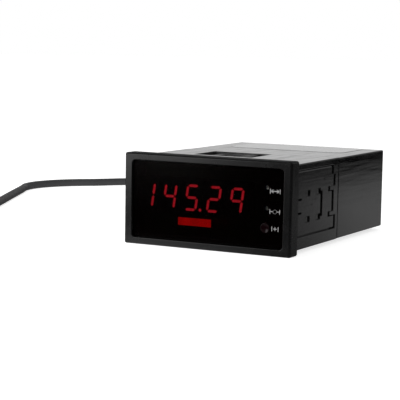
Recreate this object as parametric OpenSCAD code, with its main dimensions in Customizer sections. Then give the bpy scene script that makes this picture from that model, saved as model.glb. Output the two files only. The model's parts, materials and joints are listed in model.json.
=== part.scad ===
// Digital panel meter for a 1/8 DIN panel cut-out, with its supply lead.
// The origin is the centre of the bezel's back face, where the panel seats.
// +X is to the right seen from the front, +Y runs to the rear, +Z is up.

/* [Bezel] */
// Width of the bezel
bezel_w = 96; // [94:0.5:110]
// Height of the bezel
bezel_h = 48; // [47:0.5:60]
// Thickness of the bezel in front of the panel
bezel_t = 8.6; // [8:0.1:12]
// Radius of the bezel's upright corners
bezel_corner_r = 1.2; // [0.4:0.1:2]
// Chamfer round the bezel's front
bezel_chamfer = 0.8; // [0.2:0.1:1]
// Width of the bezel's side rails
rail_side = 4.4; // [3:0.1:5]
// Width of the bezel's top and bottom rails
rail_top = 3.6; // [3:0.1:5]
// Radius of the window's corners
window_r = 2; // [1:0.1:3]

/* [Window] */
// Depth of the window's face behind the bezel's front
window_recess = 1.5; // [0.6:0.1:2]
// Thickness of the filter window
window_t = 2; // [1.5:0.1:2.5]
// Width of the lip behind the window
window_lip = 1.5; // [1:0.1:2]
// Diameter of the screwdriver holes
access_d = 3; // [2.6:0.1:3.4]
// Distance of the span and zero adjusters to the right of the centre
adjuster_x = 33.2; // [31:0.1:34]
// Height of the span adjuster
span_z = 10.3; // [9:0.1:12]
// Height of the zero adjuster
zero_z = -0.2; // [-1:0.1:1]
// Height of the calibration button
button_z = -10; // [-12:0.1:-9]
// Diameter of the calibration button
button_d = 5; // [4:0.1:6]
// Press travel of the button
button_travel = 0.8; // [0.3:0.1:1]
// Width of the red strip
strip_w = 19.1; // [14:0.2:24]
// Height of the red strip
strip_h = 4; // [3:0.1:5]

/* [Display] */
// Width of a digit module
module_w = 12.4; // [11:0.1:12.6]
// Distance between neighbouring digits
digit_pitch = 12.9; // [12.7:0.1:13]
// Height of a digit module
module_h = 19; // [17:0.5:20]
// Depth of a digit module
module_t = 8; // [6:0.5:8]
// Height of a lit figure
figure_h = 13.8; // [12:0.1:15]
// Width of a lit figure
figure_w = 7.4; // [6:0.1:8]
// Width of one segment
segment_w = 1.35; // [1:0.05:1.8]
// Slant of the figures
figure_slant = 8; // [0:1:10]
// Centre of the row of figures, from the left of the meter's centre
figures_x = 10.6; // [9.5:0.1:12]
// Height of the middle of the figures
figures_z = 2; // [0:0.1:3]

/* [Case] */
// Width of the case
case_w = 91.4; // [90:0.1:92]
// Height of the case
case_h = 44; // [43:0.1:45]
// Radius of the case's long edges
case_r = 0.8; // [0.3:0.1:1.2]
// Length of the front sleeve behind the panel seat
sleeve_len = 57.4; // [56:0.2:70]
// Length of the rear cover
cover_len = 66; // [60:1:90]
// Thickness of the case's side walls
side_wall = 2.8; // [2.6:0.1:3.2]
// Thickness of the case's top and bottom walls
top_wall = 3; // [2.6:0.1:3.2]
// Depth of the sleeve's socket in the bezel
socket_d = 4.4; // [3:0.1:4.8]
// Length of the rear cover's spigot inside the sleeve
spigot_len = 5; // [3:0.5:6]
// Thickness of the spigot
spigot_wall = 1.5; // [1:0.1:2]
// Width of the groove at the seam
seam_gap = 0.9; // [0.3:0.1:1]
// Running clearance between fixed pieces
fit = 0.1; // [0.05:0.05:0.2]

/* [Mounting slides] */
// Distance from the panel seat to the slide's front edge, slide drawn back
slide_front = 4.3; // [4:0.1:6]
// Length of the slide
slide_len = 45.2; // [44:0.1:47]
// Top edge of the slide
slide_top = 18.4; // [16:0.1:18.5]
// Bottom edge of the slide
slide_bottom = -14.4; // [-16:0.1:-14]
// Depth of the slide's pocket in the case
pocket_d = 1.8; // [1.5:0.1:2]
// Height of the slide's face above the case
slide_proud = 0.3; // [0.2:0.1:1.2]
// Forward travel that clamps the panel
slide_travel = 2.6; // [1:0.1:3]
// Distance between the rows of hooks along the case
hook_pitch = 13.5; // [12:0.1:14]
// Distance of the hooks above and below the middle of the slide's pattern
hook_z = 6.7; // [6.5:0.1:7.5]

/* [Circuit boards] */
// Thickness of the circuit boards
board_t = 1.6; // [1:0.1:2]
// Height of the main board's top face
board_z = -12; // [-13:0.1:-11]
// Width of the main board
board_w = 81.2; // [76:0.2:81.4]

/* [Rear] */
// Number of terminals
terminal_n = 12; // [6:1:13]
// Distance between terminals
terminal_pitch = 5.08; // [4.8:0.01:5.2]
// Thickness of the rear panel
panel_t = 2; // [1.5:0.1:3]
// Distance of the lead's gland to the left of the centre
gland_x = 16; // [10:0.5:24]
// Height of the lead's gland
gland_z = 9; // [8.5:0.1:10.5]

/* [Lead] */
// Diameter of the lead
cord_d = 5.2; // [4.4:0.1:6]
// Number of turns in the coil
coil_turns = 6; // [4:1:8]
// Inner diameter of the coil
coil_inner_d = 46; // [40:1:60]

/* [Hidden] */
$fn = 64;
overcut = 1;

// Planes along the meter, front to rear
front_y = -bezel_t;
window_front_y = front_y + window_recess;
window_back_y = window_front_y + window_t;
socket_y = -socket_d;
display_gap = 1.5;
module_front_y = window_back_y + display_gap;
display_board_y = module_front_y + module_t;
display_board_back_y = display_board_y + board_t;
seam_y = sleeve_len;
rear_y = sleeve_len + cover_len;
panel_y = rear_y - panel_t;

// Insides of the case
inner_w = case_w - 2 * side_wall;
inner_h = case_h - 2 * top_wall;
cover_wall = 2.5;
cover_inner_w = case_w - 2 * cover_wall;
cover_inner_h = case_h - 2 * cover_wall;
window_w = bezel_w - 2 * rail_side;
window_h = bezel_h - 2 * rail_top;
floor_z = -bezel_h / 2;

// A rectangle with round corners, centred, width along X and height along Y
module round_rect(w, h, r) {
    square([w - 2 * r, h], center = true);
    square([w, h - 2 * r], center = true);
    for (sx = [-1, 1], sy = [-1, 1])
        translate([sx * (w / 2 - r), sy * (h / 2 - r)]) circle(r);
}

// Sweeps an outline drawn in X and Z along Y, from y0 to y1
module along_y(y0, y1) {
    translate([0, y1, 0]) rotate([90, 0, 0]) linear_extrude(y1 - y0) children();
}

// A bar with round long edges, centred on the meter's axis
module bar(w, h, r, y0, y1) {
    along_y(y0, y1) round_rect(w, h, r);
}

// A rod along Y
module rod(d, x, z, y0, y1) {
    translate([x, y1, z]) rotate([90, 0, 0]) cylinder(h = y1 - y0, d = d);
}

// A box from its low corner to its high corner
module box(low, high) {
    translate(low) cube(high - low);
}

// ---- Bezel and window ----

// Cuts that bevel the four front edges of the bezel
module front_bevels() {
    side = bezel_chamfer * sqrt(2);
    for (s = [-1, 1]) {
        translate([s * bezel_w / 2, front_y, 0]) rotate([0, 0, 45])
            cube([side, side, bezel_h + 2 * overcut], center = true);
        translate([0, front_y, s * bezel_h / 2]) rotate([45, 0, 0])
            cube([bezel_w + 2 * overcut, side, side], center = true);
    }
}

module bezel() color([0.13, 0.13, 0.13]) difference() {
    bar(bezel_w, bezel_h, bezel_corner_r, front_y, 0);
    bar(window_w, window_h, window_r, front_y - overcut, window_back_y);
    bar(window_w - 2 * window_lip, window_h - 2 * window_lip, window_r, front_y, overcut);
    bar(case_w + 2 * fit, case_h + 2 * fit, case_r, socket_y, overcut);
    front_bevels();
}

module window_lens() color([0.05, 0.01, 0.01]) difference() {
    bar(window_w - 2 * fit, window_h - 2 * fit, window_r - fit, window_front_y, window_back_y);
    for (z = [span_z, zero_z])
        rod(access_d, adjuster_x, z, window_front_y - overcut, window_back_y + overcut);
    rod(button_d + 0.4, adjuster_x, button_z, window_front_y - overcut, window_back_y + overcut);
}

strip_x = -8;
strip_z = -10.4;
strip_t = 0.3;
module legend_strip() color([0.6, 0.02, 0.02])
    box([strip_x - strip_w / 2, window_back_y, strip_z - strip_h / 2],
        [strip_x + strip_w / 2, window_back_y + strip_t, strip_z + strip_h / 2]);

// ---- Display ----

segment_depth = 0.5;
segment_gap = 0.3;
point_d = 1.6;
point_offset = 2.2;

// Segments lit in each figure, and the figure whose decimal point is lit
LIT = ["bc", "bcfg", "acdfg", "abdeg", "abcfg"];
POINT_LIT = 3;
ALL_SEGMENTS = "abcdefg";
digit_n = len(LIT);

function digit_x(i) = -figures_x + (i - (digit_n + 1) / 2) * digit_pitch;

// A point of a figure, leaned over by the slant
function lean(x, z) = [x + z * tan(figure_slant), z];

// A bar with pointed ends, half a segment wide on each side, from x0 to x1 at height z
function flat_segment(x0, x1, z) = [
    lean(x0, z), lean(x0 + segment_w / 2, z + segment_w / 2), lean(x1 - segment_w / 2, z + segment_w / 2),
    lean(x1, z), lean(x1 - segment_w / 2, z - segment_w / 2), lean(x0 + segment_w / 2, z - segment_w / 2)
];

// The same bar upright, from z0 to z1 at distance x
function tall_segment(x, z0, z1) = [
    lean(x, z0), lean(x + segment_w / 2, z0 + segment_w / 2), lean(x + segment_w / 2, z1 - segment_w / 2),
    lean(x, z1), lean(x - segment_w / 2, z1 - segment_w / 2), lean(x - segment_w / 2, z0 + segment_w / 2)
];

// Outline of segment "a" to "g", centred on the figure
function segment_outline(s) =
    let (x = figure_w / 2 - segment_w / 2, z = figure_h / 2 - segment_w / 2, g = segment_gap)
    s == "a" ? flat_segment(-x + g, x - g, z) :
    s == "b" ? tall_segment(x, g, z - g) :
    s == "c" ? tall_segment(x, -z + g, -g) :
    s == "d" ? flat_segment(-x + g, x - g, -z) :
    s == "e" ? tall_segment(-x, -z + g, -g) :
    s == "f" ? tall_segment(-x, g, z - g) :
    flat_segment(-x + g, x - g, 0);

function has(word, letter) = len(search(letter, word)) > 0;

module segments(i, letters, point) {
    translate([digit_x(i), 0, figures_z])
        along_y(module_front_y, module_front_y + segment_depth) {
            for (s = letters) polygon(segment_outline(s));
            if (point)
                translate([figure_w / 2 + point_offset - figure_h / 2 * tan(figure_slant), -figure_h / 2 + point_d / 2])
                    circle(d = point_d);
        }
}

module led_module(i) color([0.06, 0.06, 0.06]) difference() {
    box([digit_x(i) - module_w / 2, module_front_y, figures_z - module_h / 2],
        [digit_x(i) + module_w / 2, display_board_y, figures_z + module_h / 2]);
    segments(i, ALL_SEGMENTS, true);
}

module lit_segments(i) color([0.9, 0.05, 0.12])
    segments(i, LIT[i - 1], i == POINT_LIT);

module dark_segments() color([0.25, 0.12, 0.12])
    for (i = [1:digit_n])
        segments(i, [for (s = ALL_SEGMENTS) if (!has(LIT[i - 1], s)) s], i != POINT_LIT);

// ---- Controls behind the window ----

trimmer_w = 9.5;
trimmer_h = 4.8;
trimmer_clear = 0.2;
trimmer_front_y = window_back_y + trimmer_clear;
adjust_screw_d = 2.2;
adjust_screw_len = 2.4;
adjust_offset = 1.3;
running_fit = 0.05;
adjust_screw_y = trimmer_front_y + 0.1;

module trimmer(z) color([0.1, 0.25, 0.6]) difference() {
    box([adjuster_x + adjust_offset - trimmer_w / 2, trimmer_front_y, z - trimmer_h / 2],
        [adjuster_x + adjust_offset + trimmer_w / 2, display_board_y, z + trimmer_h / 2]);
    rod(adjust_screw_d + 2 * running_fit, adjuster_x, z, trimmer_front_y - overcut,
        adjust_screw_y + adjust_screw_len);
}

module adjust_screw(z) color([0.8, 0.65, 0.3]) difference() {
    rod(adjust_screw_d, adjuster_x, z, adjust_screw_y, adjust_screw_y + adjust_screw_len);
    translate([adjuster_x, adjust_screw_y, z]) cube([adjust_screw_d + 1, 1.2, 0.5], center = true);
}

button_face_y = window_front_y - 0.3;
button_flange_y = window_back_y + 0.2;
button_flange_t = 0.8;
plunger_d = 3.4;
switch_w = 6;
switch_front_y = button_flange_y + button_flange_t + 1 + button_travel;
plunger_depth = 2.4;

module cal_button() color([0.08, 0.08, 0.08]) difference() {
    union() {
        rod(button_d, adjuster_x, button_z, button_face_y, button_flange_y + button_flange_t / 2);
        rod(button_d + 1.6, adjuster_x, button_z, button_flange_y, button_flange_y + button_flange_t);
    }
    translate([adjuster_x, button_face_y - 8.6, button_z]) sphere(d = 18);
}

module switch_plunger() color([0.75, 0.75, 0.7])
    rod(plunger_d, adjuster_x, button_z, button_flange_y + button_flange_t,
        switch_front_y + plunger_depth - button_travel - 0.2);

module cal_switch() color([0.12, 0.12, 0.12]) difference() {
    box([adjuster_x - switch_w / 2, switch_front_y, button_z - switch_w / 2],
        [adjuster_x + switch_w / 2, display_board_y, button_z + switch_w / 2]);
    rod(plunger_d + 2 * running_fit, adjuster_x, button_z, switch_front_y - overcut,
        switch_front_y + plunger_depth);
}

// ---- Circuit boards and what they carry ----

board_clear = 0.2;
neck_w = 64;
neck_y = rear_y - 19;
main_board_y0 = display_board_back_y + 1;
main_board_y1 = panel_y - 1;

module display_board() color([0.05, 0.3, 0.15])
    box([-inner_w / 2 + board_clear, display_board_y, -inner_h / 2 + board_clear],
        [inner_w / 2 - board_clear, display_board_back_y, inner_h / 2 - board_clear]);

module main_board() color([0.05, 0.3, 0.15]) {
    box([-board_w / 2, main_board_y0, board_z - board_t], [board_w / 2, neck_y, board_z]);
    box([-neck_w / 2, neck_y, board_z - board_t], [neck_w / 2, main_board_y1, board_z]);
}

header_w = 40;
header_h = 2.5;
header_l = 6;
module board_header() color([0.1, 0.1, 0.1])
    box([-header_w / 2, display_board_back_y, board_z],
        [header_w / 2, display_board_back_y + header_l, board_z + header_h]);

leg_pitch = 2.54;
converter_x = -8;
converter_y = 30;
converter_row = 15.24;
converter_h = 3.8;
converter_legs = 20;
driver_x = -20;
driver_y = 48;
driver_row = 7.62;
driver_h = 3.3;
driver_legs = 8;

// A chip on two rows of legs, its length along X
module chip(x, y, row, height, legs) color([0.12, 0.12, 0.13]) {
    length = legs * leg_pitch;
    width = row - 1.2;
    standoff = 0.6;
    leg_w = 0.9;
    leg_t = 0.3;
    box([x - length / 2, y - width / 2, board_z + standoff],
        [x + length / 2, y + width / 2, board_z + standoff + height]);
    for (k = [0:legs - 1], s = [-1, 1])
        let (leg_x = x + (k - (legs - 1) / 2) * leg_pitch, leg_y = y + s * row / 2)
            box([leg_x - leg_w / 2, min(leg_y, y + s * width / 2) - leg_t / 2, board_z],
                [leg_x + leg_w / 2, max(leg_y, y + s * width / 2) + leg_t / 2,
                 board_z + standoff + height / 2]);
}

module converter_chip() chip(converter_x, converter_y, converter_row, converter_h, converter_legs);
module driver_chip() chip(driver_x, driver_y, driver_row, driver_h, driver_legs);

core_x = 20;
core_from_rear = 34;
core_y = rear_y - core_from_rear;
core_w = 36;
core_h = 27;
core_t = 14;
core_leg = 6;
window_gap = 6;
coil_clear = 0.2;

module transformer_core() color([0.35, 0.35, 0.36])
    translate([core_x, core_y, board_z]) difference() {
        translate([-core_w / 2, -core_t / 2, 0]) cube([core_w, core_t, core_h]);
        for (s = [-1, 1])
            translate([s * (core_w / 2 - core_leg - window_gap / 2), 0, core_h / 2])
                cube([window_gap, core_t + 2 * overcut, core_h - 2 * core_leg], center = true);
    }

module transformer_coil() color([0.75, 0.6, 0.2]) {
    leg_w = core_w - 2 * core_leg - 2 * window_gap;
    coil_h = core_h - 2 * core_leg - 2 * coil_clear;
    translate([core_x, core_y, board_z + core_leg + coil_clear]) linear_extrude(coil_h) difference() {
        round_rect(leg_w + 2 * window_gap - 2 * coil_clear, core_t + 2 * window_gap, 3);
        square([leg_w + 2 * coil_clear, core_t + 2 * coil_clear], center = true);
    }
}

// A can capacitor standing on the main board
module can(x, y, d, h) color([0.15, 0.2, 0.4])
    translate([x, y, board_z]) rotate_extrude()
        polygon([[0, 0], [d / 2, 0], [d / 2, 1.6], [d / 2 - 0.4, 2], [d / 2 - 0.4, 2.4], [d / 2, 2.8],
                 [d / 2, h - 0.5], [d / 2 - 0.5, h], [0, h]]);

filter_x = -12;
filter_from_rear = 38;
filter_d = 13;
filter_h = 24;
output_x = -26;
output_from_rear = 36;
output_d = 8;
output_h = 12;
module filter_capacitor() can(filter_x, rear_y - filter_from_rear, filter_d, filter_h);
module output_capacitor() can(output_x, rear_y - output_from_rear, output_d, output_h);

// The fuse and the regulator stand in one row in front of the transformer
supply_from_rear = 52;
supply_row_y = rear_y - supply_from_rear;
regulator_x = -30;
regulator_y = supply_row_y;
module regulator() color([0.15, 0.15, 0.15]) translate([regulator_x, regulator_y, board_z]) {
    lead_h = 4;
    for (k = [-1:1]) translate([k * leg_pitch - 0.4, -0.3, 0]) cube([0.8, 0.6, lead_h + 1]);
    translate([-5, -2.2, lead_h]) cube([10, 4.4, 9]);
    difference() {
        translate([-5, 0.9, lead_h + 1]) cube([10, 1.3, 14.6]);
        rod(3.6, 0, lead_h + 12.4, -overcut, 4);
    }
}

fuse_x = 2;
fuse_y = supply_row_y;
fuse_d = 5;
fuse_len = 20;
fuse_z = board_z + 4.2;
module fuse() color([0.85, 0.88, 0.9])
    translate([fuse_x - fuse_len / 2, fuse_y, fuse_z]) rotate([0, 90, 0]) cylinder(h = fuse_len, d = fuse_d);

module fuse_clips() color([0.75, 0.75, 0.72]) {
    clip_w = 4;
    for (s = [-1, 1])
        difference() {
            translate([fuse_x + s * (fuse_len / 2 - clip_w / 2) - clip_w / 2, fuse_y - fuse_d / 2 - 0.8, board_z])
                cube([clip_w, fuse_d + 1.6, fuse_z - board_z + 1.2]);
            translate([fuse_x - fuse_len, fuse_y, fuse_z]) rotate([0, 90, 0])
                cylinder(h = 2 * fuse_len, d = fuse_d + 2 * fit);
        }
}

terminal_h = 12.6;
terminal_end = 0.5;
terminal_depth = 12;
terminal_proud = 1;
terminal_w = terminal_n * terminal_pitch + 2 * terminal_end;
terminal_y0 = rear_y - terminal_depth;
terminal_y1 = rear_y + terminal_proud;
terminal_hole = 3;
terminal_screw_d = 3.2;
terminal_wire_z = board_z + 3.4;
terminal_screw_z = board_z + 9;
terminal_screw_depth = 6;
function terminal_x(k) = (k - (terminal_n - 1) / 2) * terminal_pitch;

module terminal_block() color([0.1, 0.35, 0.2]) difference() {
    box([-terminal_w / 2, terminal_y0, board_z], [terminal_w / 2, terminal_y1, board_z + terminal_h]);
    for (k = [0:terminal_n - 1]) {
        translate([terminal_x(k), terminal_y1, terminal_wire_z])
            cube([terminal_hole, 2 * terminal_screw_depth, terminal_hole], center = true);
        rod(terminal_screw_d + 2 * fit, terminal_x(k), terminal_screw_z,
            terminal_y1 - terminal_screw_depth, terminal_y1 + overcut);
    }
}

module terminal_screws() color([0.7, 0.7, 0.68])
    for (k = [0:terminal_n - 1]) difference() {
        rod(terminal_screw_d, terminal_x(k), terminal_screw_z,
            terminal_y1 - terminal_screw_depth, terminal_y1 - 1.5);
        translate([terminal_x(k), terminal_y1 - 1.5, terminal_screw_z])
            cube([terminal_screw_d + 1, 1.6, 0.6], center = true);
    }

// ---- Board guides and mounting slides ----

// A slotted rail on each side that carries the main board's edge
module card_guides(width, y0, y1, board_clearance) {
    guide_t = 1.5;
    reach = board_w / 2 - 2;
    for (s = [-1, 1], lower = [0, 1])
        let (z0 = lower == 1 ? board_z - board_t - board_clearance - guide_t : board_z + board_clearance)
            box([min(s * reach, s * (width / 2 + 0.5)), y0, z0],
                [max(s * reach, s * (width / 2 + 0.5)), y1, z0 + guide_t]);
}

// Outline of a mounting slide seen from the side, as distance along Y and height. Its rear edge has
// two notches for fingers of the case. The case's pocket is the same outline, let out all round.
slide_end = slide_front + slide_len;
hook_mid = -0.4;
notch_y = slide_end - 6.8;
notch_h = 2.8;
step_y = 2.5;
shoulder_z = 13.7;
web_y = slide_end - 2;
tail_y = slide_end + 0.9;
function slide_outline(front, behind, below, above, beside) =
    let (n = notch_h / 2 - beside, upper = hook_mid + hook_z, lower = hook_mid - hook_z) [
        [front, slide_bottom - below], [tail_y + behind, slide_bottom - below],
        [tail_y + behind, lower - n], [notch_y + behind, lower - n],
        [notch_y + behind, lower + n], [web_y + behind, lower + n],
        [web_y + behind, upper - n], [notch_y + behind, upper - n],
        [notch_y + behind, upper + n], [slide_end + behind, upper + n],
        [slide_end + behind, shoulder_z], [slide_end - step_y + behind, shoulder_z],
        [slide_end - step_y + behind, slide_top + above], [front, slide_top + above]
    ];

// Sweeps an outline drawn as [along Y, height] outward along X, from x0 to x1
module along_x(x0, x1) {
    translate([x0, 0, 0]) rotate([90, 0, 90]) linear_extrude(x1 - x0) children();
}

case_x = case_w / 2;
pocket_x = case_x - pocket_d;
slide_float = 0.1;
slide_in_x = pocket_x + slide_float;
slide_out_x = case_x + slide_proud;
ledge_t = 1.1;
hook_y0 = slide_front + 9.3;
hook_l = 2.8;
hook_stem_h = 1.6;
hook_head_h = 2.8;
hook_clear = 0.2;
hook_rows = 2;
pocket_front = slide_front - slide_travel - 0.4;
tooth_pitch = slide_travel / 2;
tooth_h = 0.6;
tongue_lift = 1;
tongue_h = 9;
slot_w = 2.6;
slot_y = hook_y0 + hook_pitch + hook_l + slide_travel;
tongue_y1 = web_y - 2;
rack_y0 = slot_y + slot_w + 0.5;
rack_y1 = tongue_y1 - slide_travel - 0.4;
pawl_y = rack_y1 - 2.6;
tooth_n = floor((rack_y1 - rack_y0) / tooth_pitch);
front_slot_z = [3.8, -3.2];
front_slot_l = 4.3;
front_slot_h = 1;
slide_bevel = 0.8;

// Shallow grooves of a slide's face: distance behind its front edge, length, height and width
FACE_GROOVES = [[3.7, 30, 12.1, 1.4], [4.7, 13, 0.1, 0.5], [13.7, 9, 2.6, 0.5]];
face_groove_d = 0.25;

// Windows of a slide: a narrow slot for each hook's stem under a wider seat for its head
module hook_windows() {
    for (row = [0:hook_rows - 1], s = [-1, 1])
        let (y0 = hook_y0 + row * hook_pitch - hook_clear,
             y1 = hook_y0 + row * hook_pitch + hook_l + slide_travel + hook_clear,
             z = hook_mid + s * hook_z) {
            box([slide_in_x - overcut, y0, z - hook_stem_h / 2 - hook_clear],
                [slide_out_x + overcut, y1, z + hook_stem_h / 2 + hook_clear]);
            box([slide_in_x + ledge_t, y0, z - hook_head_h / 2 - hook_clear],
                [slide_out_x + overcut, y1, z + hook_head_h / 2 + hook_clear]);
        }
}

module mounting_slide() color([0.16, 0.16, 0.16]) {
    difference() {
        along_x(slide_in_x, slide_out_x) polygon(slide_outline(slide_front, 0, 0, 0, 0));
        hook_windows();
        // Slot across the front of the tongue, and the hollow under it
        box([slide_in_x - overcut, slot_y, hook_mid - hook_z],
            [slide_out_x + overcut, slot_y + slot_w, hook_mid + hook_z]);
        box([slide_in_x - overcut, slot_y, hook_mid - tongue_h / 2],
            [slide_in_x + tongue_lift, tongue_y1, hook_mid + tongue_h / 2]);
        for (z = front_slot_z)
            box([slide_in_x - overcut, slide_front - overcut, z - front_slot_h / 2],
                [slide_out_x + overcut, slide_front + front_slot_l, z + front_slot_h / 2]);
        for (g = FACE_GROOVES)
            box([slide_out_x - face_groove_d, slide_front + g[0], g[2] - g[3] / 2],
                [slide_out_x + overcut, slide_front + g[0] + g[1], g[2] + g[3] / 2]);
        // Bevel along the top edge
        translate([slide_out_x, slide_front + slide_len / 2, slide_top]) rotate([0, 45, 0])
            cube([slide_bevel * sqrt(2), slide_len + 2 * overcut, slide_bevel * sqrt(2)], center = true);
    }
    // Pawl under the tongue
    pawl_t = tongue_lift - (tooth_h - slide_float) - 0.15;
    translate([slide_in_x + tongue_lift, 0, hook_mid]) mirror([1, 0, 0])
        translate([0, 0, -tongue_h / 2 + 1]) linear_extrude(tongue_h - 2)
            polygon([[-0.2, pawl_y], [-0.2, pawl_y + 2], [pawl_t, pawl_y + 2]]);
}

module mounting_slide_right() mounting_slide();
module mounting_slide_left() mirror([1, 0, 0]) mounting_slide();

// Two rows of hooks that stand on a pocket's floor, and the rack between them
module pocket_hooks() {
    head_x = slide_in_x + ledge_t + hook_clear;
    for (row = [0:hook_rows - 1], s = [-1, 1])
        let (y0 = hook_y0 + row * hook_pitch, z = hook_mid + s * hook_z) {
            box([pocket_x - 0.2, y0, z - hook_stem_h / 2], [head_x + 0.2, y0 + hook_l, z + hook_stem_h / 2]);
            box([head_x, y0, z - hook_head_h / 2], [slide_out_x - 0.1, y0 + hook_l, z + hook_head_h / 2]);
        }
    for (k = [0:tooth_n - 1])
        translate([pocket_x, rack_y0 + k * tooth_pitch, hook_mid - tongue_h / 2 + 1])
            linear_extrude(tongue_h - 2) polygon([[-0.2, 0], [0, 0], [tooth_h, tooth_pitch], [-0.2, tooth_pitch]]);
}

// ---- Case ----

cover_step = 0.15;
cover_w = case_w - 2 * cover_step;
cover_h = case_h - 2 * cover_step;
sleeve_end_y = seam_y - seam_gap;
spigot_w = inner_w - 2 * fit;
spigot_h = inner_h - 2 * fit;
cover_front_wall = 3;
pocket_behind = 3.2;
pocket_below = 1.2;
pocket_above = 0.2;
pocket_beside = 0.3;
top_pocket_x = -7.8;
top_pocket_w = 34;
top_pocket_y0 = 24.5;
top_pocket_y1 = 50;
catch_below = 0.5;

// Catches in the top pocket: left edge and width, front edge and length
TOP_CATCHES = [[-17.5, 5, 30, 10], [-2.5, 6.5, 33, 11], [-12, 14, 46, top_pocket_y1 - 46 + 0.2]];

// Pocket in the top or bottom of the case, for a clamp fitted there instead, with its catches
module top_pocket() {
    difference() {
        box([top_pocket_x - top_pocket_w / 2, top_pocket_y0, case_h / 2 - pocket_d],
            [top_pocket_x + top_pocket_w / 2, top_pocket_y1, case_h / 2 + overcut]);
        for (c = TOP_CATCHES)
            box([c[0], c[2], case_h / 2 - pocket_d - overcut], [c[0] + c[1], c[2] + c[3], case_h / 2 - catch_below]);
    }
}

module sleeve() color([0.14, 0.14, 0.14]) {
    difference() {
        bar(case_w, case_h, case_r, socket_y, sleeve_end_y);
        bar(inner_w, inner_h, case_r, socket_y - overcut, sleeve_end_y + overcut);
        for (side = [0, 1]) {
            mirror([side, 0, 0]) along_x(pocket_x, case_x + overcut)
                polygon(slide_outline(pocket_front, pocket_behind, pocket_below, pocket_above, pocket_beside));
            mirror([0, 0, side]) top_pocket();
        }
    }
    for (side = [0, 1]) mirror([side, 0, 0]) pocket_hooks();
    card_guides(inner_w, display_board_back_y + 2, seam_y - spigot_len - 1, fit);
}

boss_d = 7;
boss_len = 14;
boss_inset = 3.2;
boss_x = cover_inner_w / 2 - boss_inset;
boss_z = cover_inner_h / 2 - boss_inset;
panel_screw_d = 2.6;
panel_screw_len = 9;
panel_head_d = 5;
panel_head_t = 1.6;

module rear_cover() color([0.12, 0.12, 0.12]) {
    difference() {
        union() {
            bar(cover_w, cover_h, case_r, seam_y, rear_y);
            bar(spigot_w, spigot_h, case_r, seam_y - spigot_len, seam_y + overcut);
        }
        bar(spigot_w - 2 * spigot_wall, spigot_h - 2 * spigot_wall, case_r,
            seam_y - spigot_len - overcut, seam_y + cover_front_wall + overcut);
        bar(cover_inner_w, cover_inner_h, 1, seam_y + cover_front_wall, rear_y + overcut);
    }
    difference() {
        for (sx = [-1, 1], sz = [-1, 1]) rod(boss_d, sx * boss_x, sz * boss_z, panel_y - boss_len, panel_y);
        for (sx = [-1, 1], sz = [-1, 1])
            rod(panel_screw_d + 2 * running_fit, sx * boss_x, sz * boss_z,
                panel_y - panel_screw_len - 1, panel_y + overcut);
    }
    card_guides(cover_inner_w, seam_y + cover_front_wall + 1, neck_y - 2, fit);
}

gland_flange_d = 15;
gland_flange_t = 2.5;
gland_body_d = 10;
gland_dome_d = 12;
gland_dome_len = 20;
gland_tip_d = 8;
gland_end_y = rear_y + gland_flange_t + gland_dome_len;

module rear_panel() color([0.12, 0.12, 0.12]) difference() {
    bar(cover_inner_w - 2 * fit, cover_inner_h - 2 * fit, 1, panel_y, rear_y);
    box([-terminal_w / 2 - board_clear, panel_y - overcut, board_z - board_clear],
        [terminal_w / 2 + board_clear, rear_y + overcut, board_z + terminal_h + board_clear]);
    rod(gland_body_d + 2 * fit, -gland_x, gland_z, panel_y - overcut, rear_y + overcut);
    for (sx = [-1, 1], sz = [-1, 1])
        rod(panel_screw_d + 0.4, sx * boss_x, sz * boss_z, panel_y - overcut, rear_y + overcut);
}

module panel_screws() color([0.3, 0.3, 0.3])
    for (sx = [-1, 1], sz = [-1, 1]) difference() {
        union() {
            rod(panel_head_d, sx * boss_x, sz * boss_z, rear_y, rear_y + panel_head_t);
            rod(panel_screw_d, sx * boss_x, sz * boss_z, panel_y - panel_screw_len, rear_y + 0.2);
        }
        for (turn = [0, 90])
            translate([sx * boss_x, rear_y + panel_head_t, sz * boss_z]) rotate([0, turn, 0])
                cube([2.8, 1.6, 0.7], center = true);
    }

label_t = 0.15;
label_w = 70;
label_l = 37;
label_inset = 1;
label_r = 6;
module rating_label() color([0.35, 0.35, 0.35])
    translate([0, rear_y - label_inset - label_l / 2, cover_h / 2])
        linear_extrude(label_t) round_rect(label_w, label_l, label_r);

// ---- Lead ----

module cord_gland() color([0.1, 0.1, 0.1])
    translate([-gland_x, rear_y, gland_z]) rotate([-90, 0, 0]) {
        cylinder(h = gland_flange_t, d = gland_flange_d);
        translate([0, 0, -panel_t - 6]) cylinder(h = panel_t + 6.5, d = gland_body_d);
        translate([0, 0, gland_flange_t - 0.5]) cylinder(h = gland_dome_len + 0.5, d1 = gland_dome_d, d2 = gland_tip_d);
    }

module gland_nut() color([0.12, 0.12, 0.12])
    translate([-gland_x, panel_y, gland_z]) rotate([90, 0, 0]) difference() {
        cylinder(h = 4, d = gland_flange_d, $fn = 6);
        translate([0, 0, -overcut]) cylinder(h = 4 + 2 * overcut, d = gland_body_d + 2 * fit);
    }

// The lead lies on the ground: out of the gland, round behind the meter, then forward to the coil
cord_z = floor_z + cord_d / 2;
coil_x = -208;
coil_y = 21;
coil_lift = 0.7;
coil_z0 = floor_z + coil_lift;
coil_columns = 3;
coil_layers = coil_turns / coil_columns;
coil_r0 = coil_inner_d / 2;
coil_r1 = coil_r0 + coil_columns * cord_d;
coil_mid_r = coil_r1 - cord_d / 2;
coil_h = coil_layers * cord_d;

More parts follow.
